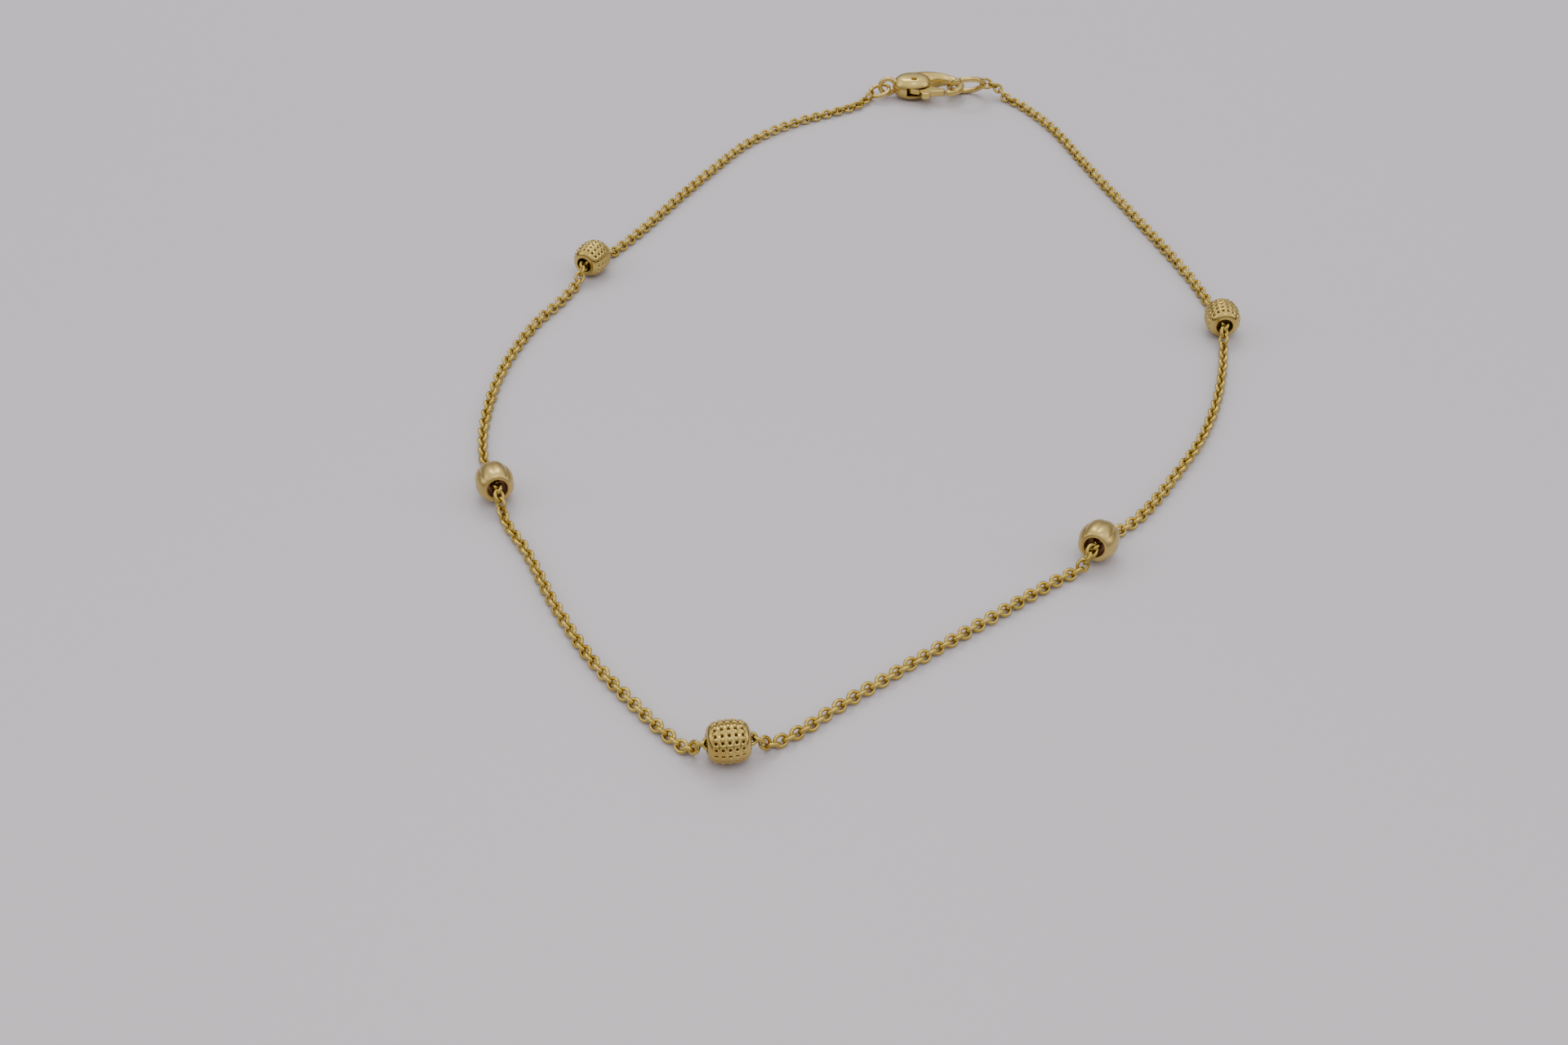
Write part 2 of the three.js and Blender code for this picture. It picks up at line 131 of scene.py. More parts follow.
world = bpy.data.worlds.new("studio")
world.use_nodes = True
sky_tree = world.node_tree
seen = sky_tree.nodes.new("ShaderNodeTexCoord")
parts = sky_tree.nodes.new("ShaderNodeSeparateXYZ")
brighten = sky_tree.nodes.new("ShaderNodeMapRange")
brighten.interpolation_type = "SMOOTHSTEP"
brighten.inputs["From Min"].default_value = BRIGHTENS_FROM
brighten.inputs["From Max"].default_value = BRIGHTENS_TO
sky_tint = sky_tree.nodes.new("ShaderNodeMix")
sky_tint.data_type = "RGBA"
sky_tint.inputs["A"].default_value = (*HORIZON, 1)
sky_tint.inputs["B"].default_value = (*ZENITH, 1)
join(sky_tree, (seen, "Generated"), (parts, "Vector"))
join(sky_tree, (parts, "Z"), (brighten, "Value"))
join(sky_tree, (brighten, "Result"), (sky_tint, "Factor"))
join(sky_tree, (sky_tint, "Result"), (sky_tree.nodes["Background"], "Color"))
bpy.context.scene.world = world


def soft_light(name, place, size, radiance, colour):
    """A rectangular area light at place, turned to the origin. Its power is its radiance times pi
    times its area."""
    data = bpy.data.lights.new(name, "AREA")
    data.shape = "RECTANGLE"
    data.size, data.size_y = size
    data.energy = radiance * math.pi * size[0] * size[1]
    data.color = colour
    light = bpy.data.objects.new(name, data)
    light.location = place
    towards = np.negative(place)
    light.rotation_euler = (
        math.atan2(np.hypot(towards[0], towards[1]), -towards[2]),
        0,
        math.atan2(towards[0], -towards[1]) + math.pi,
    )
    bpy.context.scene.collection.objects.link(light)


for light_values in LIGHTS:
    soft_light(*light_values)

# Chain
# A fine cable chain of oval links, each bent from round gold wire and soldered shut. Every link
# stands a quarter turn from the last. It lies on the card, rises through the hole of each bead,
# and a larger link at each end hangs on one of the two rings. Sizes from here on are millimetres.

LOOP_WIDTH = 66.6
ROUTE = LOOP_WIDTH * np.array([
    (0.0045, 0.7387), (-0.0233, 0.7207), (-0.1044, 0.6719), (-0.1757, 0.6036),
    (-0.2342, 0.5053), (-0.2875, 0.4054), (-0.3431, 0.2988), (-0.3979, 0.2057),
    (-0.4369, 0.1134), (-0.4655, 0.0563), (-0.4985, -0.0571), (-0.5090, -0.1742),
    (-0.5018, -0.2613), (-0.4770, -0.3393), (-0.4550, -0.4044), (-0.4279, -0.4539),
    (-0.3803, -0.5623), (-0.3296, -0.6557), (-0.2725, -0.7338), (-0.2432, -0.7695),
    (-0.2120, -0.7980), (-0.1772, -0.7973), (-0.1426, -0.7893), (-0.1056, -0.7673),
    (-0.0613, -0.7267), (0.0252, -0.6542), (0.1228, -0.5743), (0.1997, -0.5120),
    (0.2462, -0.4782), (0.2563, -0.4565), (0.2673, -0.4347), (0.3134, -0.3922),
    (0.3739, -0.3033), (0.4249, -0.2132), (0.4662, -0.0991), (0.4910, 0.0420),
    (0.4772, 0.1509), (0.4485, 0.2560), (0.4081, 0.3821), (0.3656, 0.5128),
])
LAST_STRETCH = LOOP_WIDTH * np.array([
    (0.1038, -0.1254), (0.0623, -0.0413), (0.0398, -0.0135), (0.0248, 0.0038),
    (0.0128, 0.0045),
])
JUMP_RING_SIDE = np.array([1.896, 51.412])
END_RING_SIDE = np.array([14.558, 51.753])
GRAINED_DIAMETER, GRAINED_LENGTH = 3.25, 3.15
POLISHED_DIAMETER, POLISHED_LENGTH = 3.2, 2.9
BEAD_STOPS = {  # number of its stop, diameter, length, and the angle that its far end is tipped up
    "bead_back_left": (8, GRAINED_DIAMETER, GRAINED_LENGTH, 0.0),
    "bead_left": (14, POLISHED_DIAMETER, POLISHED_LENGTH, 9.0),
    "bead_front": (22, GRAINED_DIAMETER, GRAINED_LENGTH, 0.0),
    "bead_right": (30, POLISHED_DIAMETER, POLISHED_LENGTH, -12.0),
    "bead_back_right": (36, GRAINED_DIAMETER, GRAINED_LENGTH, 0.0),
}
CHAIN_DROP = 1.8
LINK_REST = 0.45
LINK_LENGTH, LINK_WIDTH, LINK_WIRE = 1.34, 1.14, 0.32
LINK_PITCH = 0.7
END_LINK_LENGTH, END_LINK_WIDTH, END_LINK_WIRE = 1.79, 1.4, 0.32
END_LINK_STEP = 0.91
JUMP_HOOK, END_HOOK = 0.32, 0.25
LINK_REACH = 0.3  # how far each side of a link's middle the line is read for the way it points
LINK_TURN, LINK_SWAY, LINK_CHANCE = 45.0, 9.0, 3.0
SWAY_START, SWAY_FAST, SWAY_SLOW = 1.0, 0.173, 0.071
LINKS_THAT_TURN = 9
END_RING_RISE, END_RING_RISE_OVER = 1.416, 3.4
# The way that each ring's wire runs where its end link hangs on it.
JUMP_WIRE_WAY, END_WIRE_WAY = np.array([(-0.423, 0.906, 0.0), (0.085, 0.718, -0.691)])


def curve_through(points, per_span):
    """Smooth curve through points: a centripetal Catmull-Rom spline, where each span is the cubic
    between its two points whose end slopes are weighed by the roots of the spans' lengths."""
    held = np.vstack([2 * points[0] - points[1], points, 2 * points[-1] - points[-2]])
    a, b, c, d = held[:-3], held[1:-2], held[2:-1], held[3:]
    ab, bc, cd = (np.linalg.norm(v - u, axis=1)[:, None] ** 0.5 for u, v in ((a, b), (b, c), (c, d)))
    leave = ((b - a) / ab - (c - a) / (ab + bc) + (c - b) / bc) * bc
    arrive = ((c - b) / bc - (d - b) / (bc + cd) + (d - c) / cd) * bc
    t = (np.arange(per_span) / per_span)[None, :, None]
    b, c, leave, arrive = (x[:, None, :] for x in (b, c, leave, arrive))
    spans = (
        (2 * t**3 - 3 * t**2 + 1) * b + (t**3 - 2 * t**2 + t) * leave
        + (3 * t**2 - 2 * t**3) * c + (t**3 - t**2) * arrive
    )
    return np.vstack([spans.reshape(-1, points.shape[1]), points[-1:]])


def lengths_along(points):
    """Length of a line of points up to each of them."""
    steps = np.linalg.norm(np.diff(points, axis=0), axis=1)
    return np.concatenate([[0], np.cumsum(steps)])


def smooth_step(x):
    """0 below 0, 1 above 1, and the cubic 3x^2 - 2x^3 in between."""
    x = np.clip(x, 0, 1)
    return x * x * (3 - 2 * x)


PER_SPAN = 120
stops = np.vstack([JUMP_RING_SIDE, ROUTE, END_RING_SIDE + LAST_STRETCH, END_RING_SIDE])
plan = curve_through(stops, PER_SPAN)
plan_length = lengths_along(plan)
bead_at = {name: plan_length[stop * PER_SPAN] for name, (stop, *_) in BEAD_STOPS.items()}

# Height: the links' resting height, and near a bead the smooth step up to its hole's middle line,
# which is as high as the bead's radius at its middle and slopes as the bead is tipped. The last
# stretch climbs by another smooth step to the end ring's wire.
height = np.full(len(plan), LINK_REST)
for name, (_, diameter, length, tip) in BEAD_STOPS.items():
    past = plan_length - bead_at[name]
    inside = np.clip(past, -length / 2, length / 2)
    hole = diameter / 2 + math.tan(math.radians(tip)) * inside
    share = smooth_step(1 - np.abs(past - inside) / CHAIN_DROP)
    height = np.maximum(height, LINK_REST + share * (hole - LINK_REST))
height += END_RING_RISE * smooth_step(1 - (plan_length[-1] - plan_length) / END_RING_RISE_OVER)
line = np.column_stack([plan, height])
line_length = lengths_along(line)

# The links' middles. Each end link hangs with its wire on the inside of the ring's, a hook's length
# from the line's end. The others sit between the two at equal steps, no longer than a link's hole,
# so that every link holds the next.
first_link, last_link = JUMP_HOOK, line_length[-1] - END_HOOK
link_span = last_link - first_link - 2 * END_LINK_STEP
link_count = 3 + math.ceil(link_span / LINK_PITCH)
link_at = np.concatenate([
    [first_link],
    first_link + END_LINK_STEP + link_span * np.arange(link_count - 2) / (link_count - 3),
    [last_link],
])


def at_length(s):
    """Points of the chain's middle line at lengths s along it."""
    return np.column_stack([np.interp(s, line_length, line[:, axis]) for axis in range(3)])


# A link points from the line a little before its middle to the line as far past it.
link_middle = at_length(link_at)
link_along = at_length(link_at + LINK_REACH) - at_length(link_at - LINK_REACH)
link_along /= np.linalg.norm(link_along, axis=1)[:, None]
link_side = np.cross((0, 0, 1), link_along)
link_side /= np.linalg.norm(link_side, axis=1)[:, None]
link_up = np.cross(link_along, link_side)

# Roll: a quarter turn from link to link, with a slow sway along the chain and a little chance.
# Toward each ring the last few turn, so that the end link stands square to the ring's wire.
chance = np.random.default_rng(7)
number = np.arange(link_count)
quarter = np.where(number % 2 == 0, LINK_TURN, -LINK_TURN)
roll = quarter + LINK_SWAY * np.sin(number * SWAY_FAST + SWAY_START) * np.cos(number * SWAY_SLOW)
roll = np.radians(roll + chance.normal(0, LINK_CHANCE, link_count))
for end, wire_way in ((0, JUMP_WIRE_WAY), (-1, END_WIRE_WAY)):
    square = np.cross(wire_way, link_along[end])
    wanted = math.atan2(square @ link_up[end], square @ link_side[end])
    turn = (wanted - roll[end] + np.pi / 2) % np.pi - np.pi / 2
    roll += turn * smooth_step(1 - np.abs(number - number[end]) / LINKS_THAT_TURN)
roll = roll[:, None]
link_wide = np.cos(roll) * link_side + np.sin(roll) * link_up
link_thick = np.cross(link_along, link_wide)

# No link dips into the card: half of its height is that of the leaning oval, and of its wire.
oval = np.tile([LINK_LENGTH - LINK_WIRE, LINK_WIDTH - LINK_WIRE, LINK_WIRE], (link_count, 1))
oval[[0, -1]] = END_LINK_LENGTH - END_LINK_WIRE, END_LINK_WIDTH - END_LINK_WIRE, END_LINK_WIRE
lean = np.hypot(oval[:, 0] * link_along[:, 2], oval[:, 1] * link_wide[:, 2])
half_height = (lean + oval[:, 2]) / 2
link_middle[:, 2] = np.maximum(link_middle[:, 2], half_height)


def ring_grid(steps, sides, long_radius, wide_radius, wire_radius):
    """An oval ring: a circle of the wire's radius carried round an ellipse in the plane of the
    first two axes, always square to it. Rows go round the ellipse and columns round the wire."""
    turn = 2 * np.pi * np.arange(steps)[:, None] / steps
    about = 2 * np.pi * (np.arange(sides)[None, :] + 0.5) / sides
    out = np.stack([wide_radius * np.cos(turn), long_radius * np.sin(turn)], -1)
    out /= np.linalg.norm(out, axis=-1)[..., None]
    flat = wire_radius * np.cos(about)
    return np.stack([
        long_radius * np.cos(turn) + out[..., 0] * flat,
        wide_radius * np.sin(turn) + out[..., 1] * flat,
        np.broadcast_to(wire_radius * np.sin(about), (steps, sides)),
    ], -1).reshape(-1, 3)


def grid_faces(rows, columns, shut_rows=True):
    """The four corners of each cell of a grid whose columns run round on themselves, and its rows
    too where they are shut."""
    row = np.arange(rows if shut_rows else rows - 1)[:, None]
    column = np.arange(columns)[None, :]
    next_row, next_column = (row + 1) % rows, (column + 1) % columns
    corners = (
        row * columns + column, next_row * columns + column,
        next_row * columns + next_column, row * columns + next_column,
    )
    return np.stack(corners, -1).reshape(-1, 4)


def facing_out(points, faces):
    """The faces as plain lists, all turned round if the volume that they enclose is negative: the
    sum of a . (b x c) over the first three corners a, b and c of each face."""
    corner = points[np.array([face[:3] for face in faces])]
    volume = np.einsum("ij,ij->", corner[:, 0], np.cross(corner[:, 1], corner[:, 2]))
    way = -1 if volume < 0 else 1
    return [[int(k) for k in face[::way]] for face in faces]


def make_piece(name, points, faces, material, body, nodes):
    """A smooth piece from points in millimetres, with its faces pointing outwards, which rides on
    a body and stands for CAD nodes."""
    mesh = bpy.data.meshes.new(name)
    mesh.from_pydata((points * 0.001).tolist(), [], facing_out(points, faces))
    mesh.shade_smooth()
    mesh.materials.append(material)
    piece = bpy.data.objects.new(name, mesh)
    bpy.context.scene.collection.objects.link(piece)
    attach(piece, body)
    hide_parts(*nodes)
    return piece


def wear_group():
    """What handling leaves on gold. Tone is a slow blotch, Scuff is a finer one for the polish, and
    Height is the fine grain of the metal with hairline scratches laid over it."""
    group = bpy.data.node_groups.new("handled_gold", "ShaderNodeTree")
    for name, value in (("Blotch Scale", 700.0), ("Grain Scale", 9000.0), ("Scratches", 0.5)):
        socket = group.interface.new_socket(name=name, in_out="INPUT", socket_type="NodeSocketFloat")
        socket.default_value = value
    for name in ("Tone", "Scuff", "Height"):
        group.interface.new_socket(name=name, in_out="OUTPUT", socket_type="NodeSocketFloat")
    nodes = group.nodes
    inside, outside = nodes.new("NodeGroupInput"), nodes.new("NodeGroupOutput")
    place = nodes.new("ShaderNodeTexCoord")
    blotch, scuff, grain, hairs = (nodes.new("ShaderNodeTexNoise") for _ in range(4))
    blotch.inputs["Detail"].default_value = 3.0
    scuff.inputs["Detail"].default_value = 5.0
    scuff.inputs["Scale"].default_value = 2600.0
    scuff.inputs["Distortion"].default_value = 0.6
    grain.inputs["Detail"].default_value = 2.0
    stretch = nodes.new("ShaderNodeMapping")
    stretch.inputs["Scale"].default_value = (1.0, 0.08, 0.5)
    stretch.inputs["Rotation"].default_value = (0.3, 0.2, 0.7)
    hairs.inputs["Scale"].default_value = 14000.0
    hairs.inputs["Detail"].default_value = 2.0
    laid = nodes.new("ShaderNodeMix")
    for node in (blotch, scuff, grain, stretch):
        join(group, (place, "Object"), (node, "Vector"))
    join(group, (stretch, "Vector"), (hairs, "Vector"))
    join(group, (inside, "Blotch Scale"), (blotch, "Scale"))
    join(group, (inside, "Grain Scale"), (grain, "Scale"))
    join(group, (inside, "Scratches"), (laid, "Factor"))
    join(group, (grain, "Fac"), (laid, "A"))
    join(group, (hairs, "Fac"), (laid, "B"))
    join(group, (blotch, "Fac"), (outside, "Tone"))
    join(group, (scuff, "Fac"), (outside, "Scuff"))
    join(group, (laid, "Result"), (outside, "Height"))
    return group


handled_gold = wear_group()


def gold(name, pale, deep, polish, blotch, grain, scratches, relief, shade=None):
    """Yellow gold: pale and deep are the metal's two tones, polish its least and most roughness,
    and relief the depth of its fine marks. shade is painted shade: the name of an attribute of the
    piece, 1 where the shade is painted fully, and the darker tone and the roughness painted there."""
    material, tree, shader = new_material(name)
    shader.inputs["Metallic"].default_value = 1.0
    wear = tree.nodes.new("ShaderNodeGroup")
    wear.node_tree = handled_gold
    wear.inputs["Blotch Scale"].default_value = blotch
    wear.inputs["Grain Scale"].default_value = grain
    wear.inputs["Scratches"].default_value = scratches
    spread = tree.nodes.new("ShaderNodeMapRange")
    spread.inputs["From Min"].default_value = 0.35
    spread.inputs["From Max"].default_value = 0.65
    tone = tree.nodes.new("ShaderNodeMix")
    tone.data_type = "RGBA"
    tone.inputs["A"].default_value = (*pale, 1)
    tone.inputs["B"].default_value = (*deep, 1)
    rough = tree.nodes.new("ShaderNodeMapRange")
    rough.inputs["From Min"].default_value = 0.3
    rough.inputs["From Max"].default_value = 0.7
    rough.inputs["To Min"].default_value, rough.inputs["To Max"].default_value = polish
    bump = tree.nodes.new("ShaderNodeBump")
    bump.inputs["Strength"].default_value = 0.35
    bump.inputs["Distance"].default_value = relief
    join(tree, (wear, "Tone"), (spread, "Value"))
    join(tree, (spread, "Result"), (tone, "Factor"))
    join(tree, (wear, "Scuff"), (rough, "Value"))
    join(tree, (wear, "Height"), (bump, "Height"))
    join(tree, (bump, "Normal"), (shader, "Normal"))
    if shade is None:
        join(tree, (tone, "Result"), (shader, "Base Color"))
        join(tree, (rough, "Result"), (shader, "Roughness"))
        return material
    attribute, shade_tone, shade_rough = shade
    # Painted shade: the attribute mixes the darker tone in where shade falls.
    painted_shade_share = tree.nodes.new("ShaderNodeAttribute")
    painted_shade_share.attribute_name = attribute
    darker = tree.nodes.new("ShaderNodeMix")
    darker.data_type = "RGBA"
    darker.inputs["B"].default_value = (*shade_tone, 1)
    duller = tree.nodes.new("ShaderNodeMix")
    duller.inputs["B"].default_value = shade_rough
    join(tree, (painted_shade_share, "Fac"), (darker, "Factor"))
    join(tree, (painted_shade_share, "Fac"), (duller, "Factor"))
    join(tree, (tone, "Result"), (darker, "A"))
    join(tree, (rough, "Result"), (duller, "A"))
    join(tree, (darker, "Result"), (shader, "Base Color"))
    join(tree, (duller, "Result"), (shader, "Roughness"))
    return material


chain_gold = gold(
    "chain_gold", pale=(0.62, 0.465, 0.125), deep=(0.53, 0.38, 0.08), polish=(0.16, 0.30),
    blotch=500.0, grain=12000.0, scratches=0.6, relief=4e-6,
)

# One level of subdivision rounds each link's coarse grid and pulls it in, so the grid is made
# larger by these shares.
LINK_STEPS, LINK_SIDES = 12, 6
LINK_PULL_LONG, LINK_PULL_WIRE = 0.966, 0.87
link_shape, end_link_shape = (
    ring_grid(
        LINK_STEPS,
        LINK_SIDES,
        (length - wire) / 2 / LINK_PULL_LONG,
        (width - wire) / 2 / LINK_PULL_LONG,
        wire / 2 / LINK_PULL_WIRE,
    )
    for length, width, wire in (
        (LINK_LENGTH, LINK_WIDTH, LINK_WIRE), (END_LINK_LENGTH, END_LINK_WIDTH, END_LINK_WIRE),
    )
)
link_shapes = np.repeat(link_shape[None], link_count, 0)
link_shapes[[0, -1]] = end_link_shape
link_faces = grid_faces(LINK_STEPS, LINK_SIDES)
link_axes = np.stack([link_along, link_wide, link_thick], 1)
in_left = link_at < np.interp(bead_at["bead_front"], plan_length, line_length)
for name, node, chosen in (
    ("chain_links_left", "chain_left", in_left),
    ("chain_links_right", "chain_right", ~in_left),
):
    turned = np.einsum("lvk,lkx->lvx", link_shapes[chosen], link_axes[chosen])
    placed = link_middle[chosen][:, None, :] + turned
    firsts = len(link_shape) * np.arange(chosen.sum())[:, None, None]
    chain_piece = make_piece(
        name,
        placed.reshape(-1, 3),
        (link_faces[None] + firsts).reshape(-1, 4),
        chain_gold,
        "anklet",
        [node],
    )
    round_wire = chain_piece.modifiers.new("round_wire", "SUBSURF")
    round_wire.levels = round_wire.render_levels = 1

# Grained beads
# Three hollow drums of gold, cast with five bands of round grains between smooth ridges, and a
# smooth rim at each end. The pits between the grains and the inside of the hole are painted dark,
# as painted shade.

GRAINED = {
    "length": GRAINED_LENGTH, "diameter": GRAINED_DIAMETER, "end_face": 1.76, "squareness": 2.15,
    "bore": 1.44,
}
GRAINED_LIP, GRAINED_RIM = 0.07, 0.3
GRAIN_ROWS, GRAIN_BANDS = 18, 5
GRAIN_HEIGHT, GRAIN_SIZE, GRAIN_ROUND = 0.075, 0.40, 0.8
RIDGE_HEIGHT, RIDGE_FROM, RIDGE_OVER, RIM_SINK = 0.02, 0.3, 0.2, 0.045
PIT_DEPTH, PIT_SIZE = 0.16, 0.18
GRAIN_ROW_STEPS, GRAIN_BAND_STEPS, RIM_STEPS = 14, 18, 10
LIP_POINTS, HOLE_POINTS = 6, 12
BORE_REACH = 0.2  # and the same for a bead's bore
TIPPED_LIFT = 0.6
# Painted shade: how far the inside of the hole is painted toward the dark tone.
GRAINED_HOLE_SHADE = 0.6


def bead_section(size, lip, shares):
    """Closed section of a drum bead as (along, radius), each point's outward direction, and how
    many points are outside. Outside is a super-ellipse that rises from the end face, and then come
    a round lip, the hole and the other lip."""
    half, bore = size["length"] / 2, size["bore"] / 2
    power = size["squareness"]
    full = (1 - np.abs(shares) ** power) ** (1 / power)
    radius = size["end_face"] / 2 + (size["diameter"] - size["end_face"]) / 2 * full
    outside = np.column_stack([shares * half, radius])
    bend = np.linspace(0, np.pi / 2, LIP_POINTS)
    far_lip = np.column_stack([half - lip + lip * np.cos(bend), bore + lip - lip * np.sin(bend)])
    through = np.linspace(half - lip, lip - half, HOLE_POINTS + 2)[1:-1]
    hole = np.column_stack([through, np.full(HOLE_POINTS, bore)])
    near_lip = far_lip[::-1] * (-1, 1)
    section = np.vstack([outside, far_lip, hole, near_lip])
    ahead = np.roll(section, -1, 0) - np.roll(section, 1, 0)
    outward = np.column_stack([-ahead[:, 1], ahead[:, 0]])
    return section, outward / np.linalg.norm(outward, axis=1)[:, None], len(shares)


def turned_bead(section, relief, name):
    """Points and faces of the section turned about the chain's line at the bead, with its outside
    moved along the outward direction by relief, which has one row for each step of the turn. A
    tipped bead stands on its round flank, and so higher by the square of its tilt's sine."""
    line_of_section, outward, outside_count = section
    turns, count = relief.shape[0], len(line_of_section)
    moved = np.zeros((turns, count))
    moved[:, :outside_count] = relief
    at = line_of_section[None] + outward[None] * moved[..., None]
    turn = 2 * np.pi * np.arange(turns)[:, None] / turns
    stop, diameter, _, tip = BEAD_STOPS[name]
    near, far = bead_at[name] - BORE_REACH, bead_at[name] + BORE_REACH
    ahead = np.array([np.subtract(*np.interp((far, near), plan_length, plan[:, k])) for k in (0, 1)])
    ahead /= np.linalg.norm(ahead)
    level, rise = math.cos(math.radians(tip)), math.sin(math.radians(tip))
    along = np.array([ahead[0] * level, ahead[1] * level, rise])
    side = np.array([-ahead[1], ahead[0], 0])
    up = np.cross(along, side)
    middle = np.array([*plan[stop * PER_SPAN], diameter / 2 + TIPPED_LIFT * rise**2])
    points = (
        middle
        + at[..., :1] * along
        + (at[..., 1] * np.cos(turn))[..., None] * side
        + (at[..., 1] * np.sin(turn))[..., None] * up
    )
    return points.reshape(-1, 3), grid_faces(turns, count)


def add_shade(bead, section, outside_shade, hole_shade):
    """Gives the bead its painted shade, an attribute with one number for each point: the outside's
    own, one for the hole up to the inner edges of its lips, and 0 on the lips."""
    line_of_section, _, outside_count = section
    shade = np.zeros((len(outside_shade), len(line_of_section)), np.float32)
    shade[:, :outside_count] = outside_shade
    shade[:, outside_count + LIP_POINTS - 1 : 1 - LIP_POINTS] = hole_shade
    store = bead.data.attributes.new("painted_shade", "FLOAT", "POINT")
    store.data.foreach_set("value", shade.ravel())


inner = 1 - 2 * GRAINED_RIM / GRAINED["length"]
rim_steps = np.sin(np.linspace(0, np.pi / 2, RIM_STEPS + 1))[1:]
grained_shares = np.concatenate([
    -(inner + (1 - inner) * rim_steps)[::-1],
    np.linspace(-inner, inner, GRAIN_BANDS * GRAIN_BAND_STEPS + 1),
    inner + (1 - inner) * rim_steps,
])

# Relief, in cells of one grain each: the field is sunk by a grain's height. A grain rises in its
# cell as (1 - r^2) to the power GRAIN_ROUND, with r the distance from the cell's middle over the
# grain's size. Low ridges rise by a smooth step to the band's edges, and between two grains of a
# band a squarish pit sinks by e^(-x^4 - y^4), with x and y from its middle over the pit's size.
across_band = (grained_shares / inner + 1) / 2 * GRAIN_BANDS
in_field = (np.abs(grained_shares) <= inner + 1e-9)[None, :]
across_band = np.where(in_field, across_band % 1 - 0.5, 0.5)
turns = GRAIN_ROWS * GRAIN_ROW_STEPS
row_at = (np.arange(turns) / GRAIN_ROW_STEPS)[:, None]
from_grain, from_pit = row_at % 1 - 0.5, (row_at + 0.5) % 1 - 0.5
grain = np.clip(1 - (across_band**2 + from_grain**2) / GRAIN_SIZE**2, 0, 1) ** GRAIN_ROUND
ridge = smooth_step((np.abs(across_band) - RIDGE_FROM) / RIDGE_OVER)
pit = np.exp(-((across_band / PIT_SIZE) ** 4) - (from_pit / PIT_SIZE) ** 4)
at_edge = np.where(in_field, RIDGE_HEIGHT, GRAIN_HEIGHT - RIM_SINK)
grained_relief = np.maximum(GRAIN_HEIGHT * grain, at_edge * ridge) - GRAIN_HEIGHT - PIT_DEPTH * pit

grained_gold = gold(
    "grained_gold", pale=(0.63, 0.475, 0.15), deep=(0.54, 0.38, 0.10), polish=(0.08, 0.17),
    blotch=420.0, grain=9000.0, scratches=0.2, relief=6e-6,
    # painted shade: the dark tone in the pits and the hole, and its roughness
    shade=("painted_shade", (0.12, 0.05, 0.015), 0.6),
)
grained_section = bead_section(GRAINED, GRAINED_LIP, grained_shares)
for name in ("bead_front", "bead_back_left", "bead_back_right"):
    points, faces = turned_bead(grained_section, grained_relief, name)
    grained_bead = make_piece(
        f"grained_{name}", points, faces, grained_gold, "anklet", [name]
    )
    # Painted shade: the pits' own shape sets how dark each is painted, and the hole is painted
    # darker.
    add_shade(grained_bead, grained_section, pit, GRAINED_HOLE_SHADE)

# Polished beads
# Two round hollow beads, pressed into eight broad lobes that run from hole to hole, with a fine
# groove between each two, and polished bright. The grooves and the inside of the hole are painted
# darker, as painted shade.

POLISHED = {
    "length": POLISHED_LENGTH, "diameter": POLISHED_DIAMETER, "end_face": 1.9, "squareness": 2.05,
    "bore": 1.6,
}
POLISHED_LIP = 0.09
LOBES, GROOVE, LOBE_ROUND = 8, 0.08, 0.85
LOBE_STEPS, LOBE_BANDS = 24, 72
# Painted shade: how far the grooves and the inside of the hole are painted toward the dark tone.
GROOVE_SHADE, GROOVE_SHADE_WIDTH, POLISHED_HOLE_SHADE = 0.25, 2.6, 0.9

polished_shares = -np.cos(np.pi * np.arange(LOBE_BANDS + 1) / LOBE_BANDS)
lobe_turn = 2 * np.pi * np.arange(LOBES * LOBE_STEPS)[:, None] / (LOBES * LOBE_STEPS)

# Relief: the groove's depth times how far the half wave across a lobe, to the power LOBE_ROUND,
# falls short of its crest. It fades out to nothing at the two ends, and so does the grooves'
# painted shade.
lobe_wave = np.abs(np.sin(lobe_turn * LOBES / 2)) ** LOBE_ROUND
polished_relief = GROOVE * (1 - polished_shares[None, :] ** 4) * (lobe_wave - 1)
in_groove = np.clip(1 - lobe_wave * GROOVE_SHADE_WIDTH, 0, 1) * (1 - polished_shares[None, :] ** 2)

polished_gold = gold(
    "polished_gold", pale=(0.65, 0.495, 0.18), deep=(0.56, 0.405, 0.13), polish=(0.26, 0.38),
    blotch=300.0, grain=12000.0, scratches=0.8, relief=3e-6,
    # painted shade: the darker tone in the grooves and the hole, and its roughness
    shade=("painted_shade", (0.34, 0.13, 0.05), 0.5),
)
polished_section = bead_section(POLISHED, POLISHED_LIP, polished_shares)
for name in ("bead_left", "bead_right"):
    points, faces = turned_bead(polished_section, polished_relief, name)
    polished_bead = make_piece(
        f"polished_{name}", points, faces, polished_gold, "anklet", [name]
    )
    add_shade(polished_bead, polished_section, GROOVE_SHADE * in_groove, POLISHED_HOLE_SHADE)

# Clasp body
# A cast lobster claw: the claw, its flat-sided tail block and an upright eyelet are one piece of
# gold, with a slot milled for the lever and a hole drilled through for its pin.

